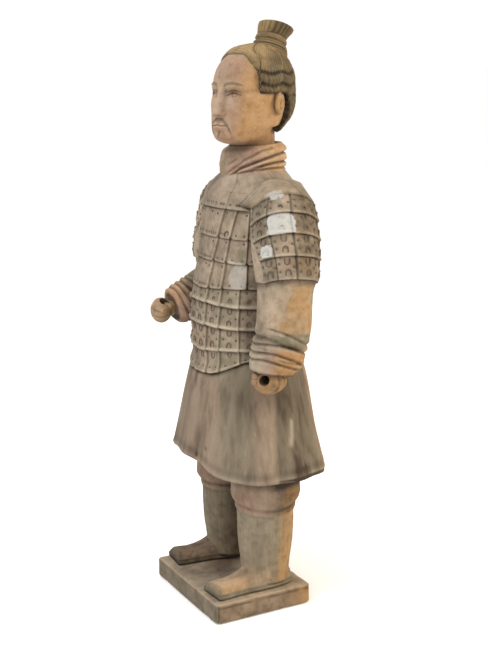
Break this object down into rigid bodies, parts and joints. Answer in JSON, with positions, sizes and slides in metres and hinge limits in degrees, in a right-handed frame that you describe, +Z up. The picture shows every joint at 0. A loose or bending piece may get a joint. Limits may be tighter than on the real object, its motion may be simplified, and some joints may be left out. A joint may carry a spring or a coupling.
{
  "type": "statue",
  "caption": "Standing terracotta warrior in plate armour over a flared robe, one forearm raised and both fists hollow, with a loose head, on a rectangular plinth.",
  "frame": {"origin": "centre of the plinth's underside", "axes": "+Z up, the figure faces -Y, its left hand is on the +X side"},
  "size_m": [0.6417, 0.4661, 1.8004],
  "materials": {
    "plinth_clay": "fired clay, dry and unglazed, with dust and worn edges",
    "body_clay": "fired clay, dry and unglazed, with earth stains and traces of pale pigment",
    "head_clay": "fired clay, dry and unglazed, warmer than the body"
  },
  "bodies": {
    "root": {"plinth": "plinth_clay", "warrior_body": "body_clay", "head": "head_clay"}
  },
  "joints": []
}
